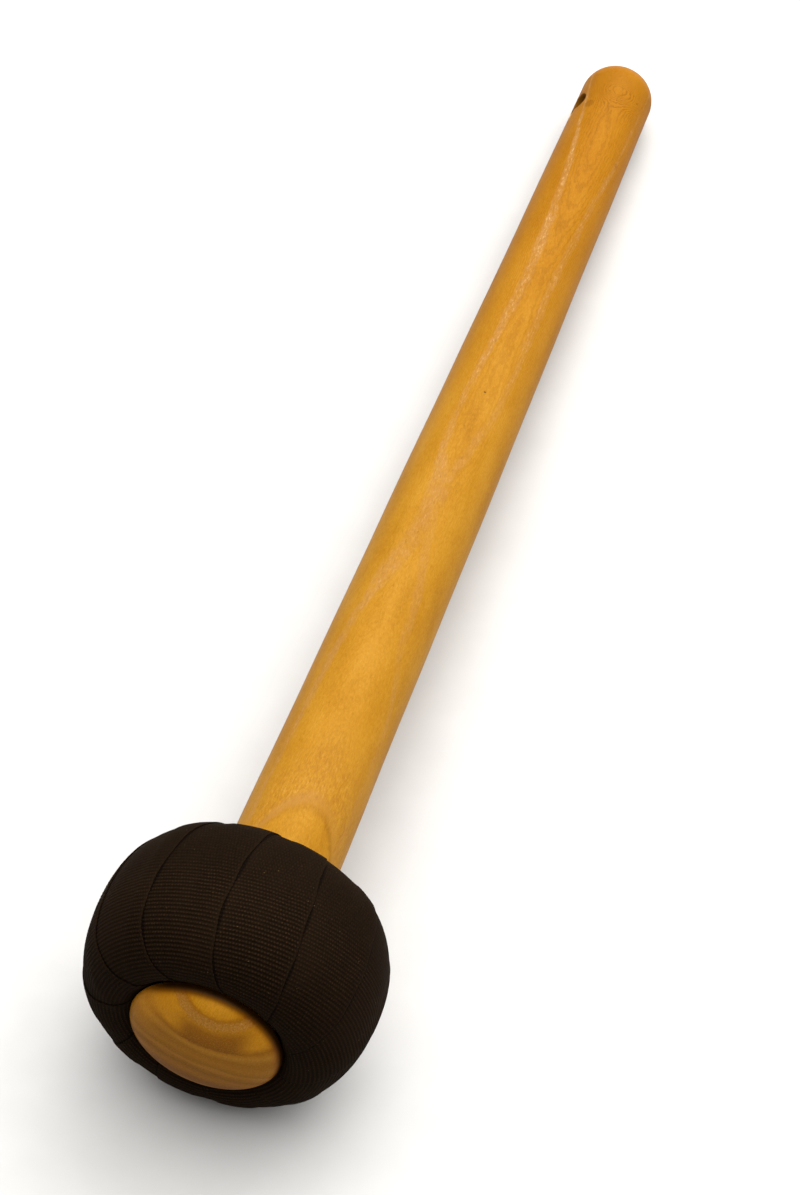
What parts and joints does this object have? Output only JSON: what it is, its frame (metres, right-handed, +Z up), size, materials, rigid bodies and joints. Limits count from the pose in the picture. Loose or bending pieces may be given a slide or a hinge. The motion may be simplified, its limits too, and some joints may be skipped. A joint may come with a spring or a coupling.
{
  "type": "gong beater",
  "caption": "Gong beater: one-piece turned wooden handle and mushroom knob, hanging hole in the tail, padded ring head bound in ribbed black elastic.",
  "frame": {"origin": "on the surface that the beater lies on, under the middle of its bounding box", "axes": "+Z up, +X along the handle from the head toward the tail; the head's flat and the tail both touch z = 0"},
  "size_m": [0.468, 0.099, 0.0997],
  "materials": {
    "golden_wood": "satin varnish",
    "sleeve_wood": "plain turned",
    "core_rubber": "matt",
    "felt": "pressed wool",
    "cotton": "plain weave",
    "black_elastic": "ribbed woven elastic"
  },
  "bodies": {
    "root": {"handle": "golden_wood", "core_sleeve": "sleeve_wood", "rubber_ring": "core_rubber", "felt_belt": "felt", "felt_front": "felt", "felt_back": "felt", "wrap_cloth": "cotton", "cover_band": "black_elastic"}
  },
  "joints": []
}
